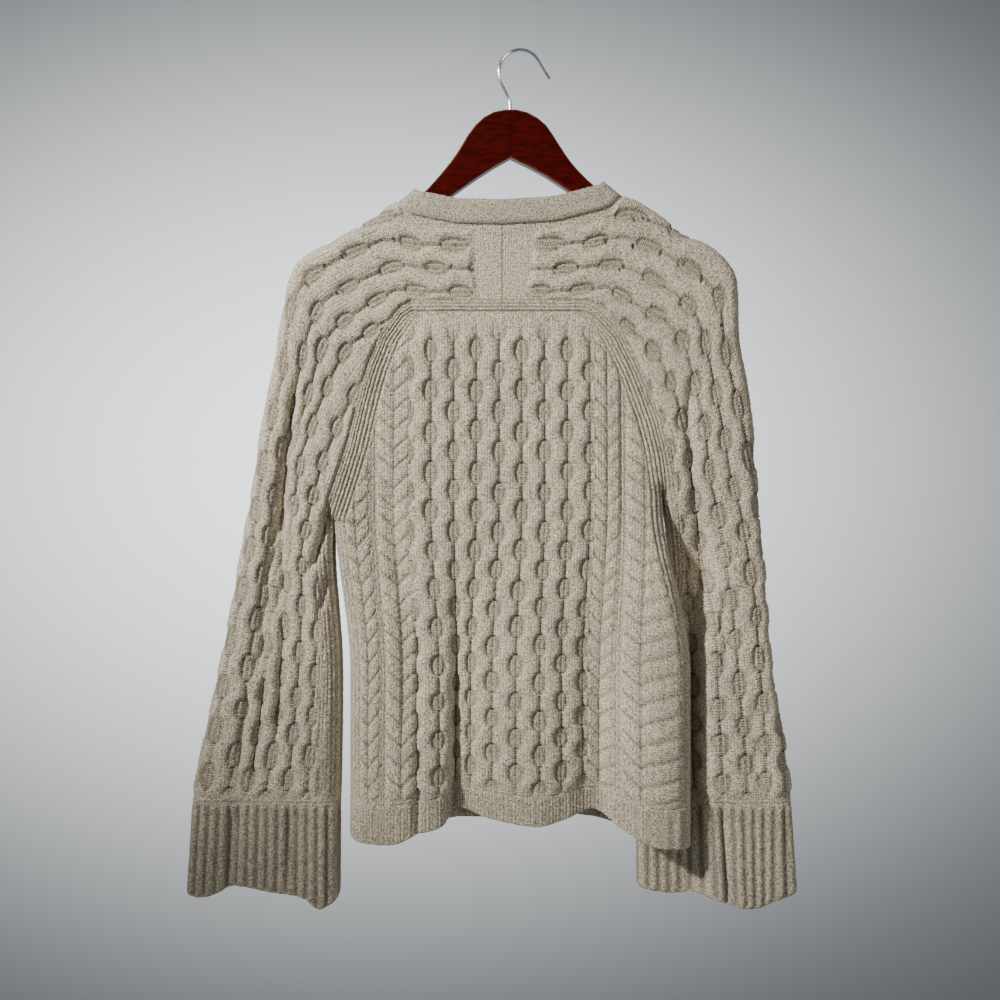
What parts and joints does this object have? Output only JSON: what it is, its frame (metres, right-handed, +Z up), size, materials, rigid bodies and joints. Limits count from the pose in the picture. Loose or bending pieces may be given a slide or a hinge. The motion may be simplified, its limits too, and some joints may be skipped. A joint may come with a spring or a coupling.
{
  "type": "cable knit sweater on hanger",
  "caption": "Raglan cable knit sweater with ribbed neck, cuffs and hem, hung flat on a varnished wooden hanger with a metal hook, seen open and hollow.",
  "frame": {"origin": "where the hook of the hanger is held, on the rail or nail, in the middle plane of the hanger", "axes": "+Z up, +X to the right of someone who looks at the back of the sweater, +Y out of the sweater's front"},
  "size_m": [0.605, 0.0776, 0.8523],
  "materials": {
    "knit": "matt fuzzy wool-like knit",
    "wood": "glossy red-brown varnish",
    "hook": "polished"
  },
  "bodies": {
    "root": {"back_panel": "knit", "front_panel": "knit", "left_sleeve": "knit", "right_sleeve": "knit", "left_cuff": "knit", "right_cuff": "knit", "back_hem": "knit", "front_hem": "knit", "neckband": "knit", "hanger_wood": "wood", "hanger_hook": "hook"}
  },
  "joints": []
}
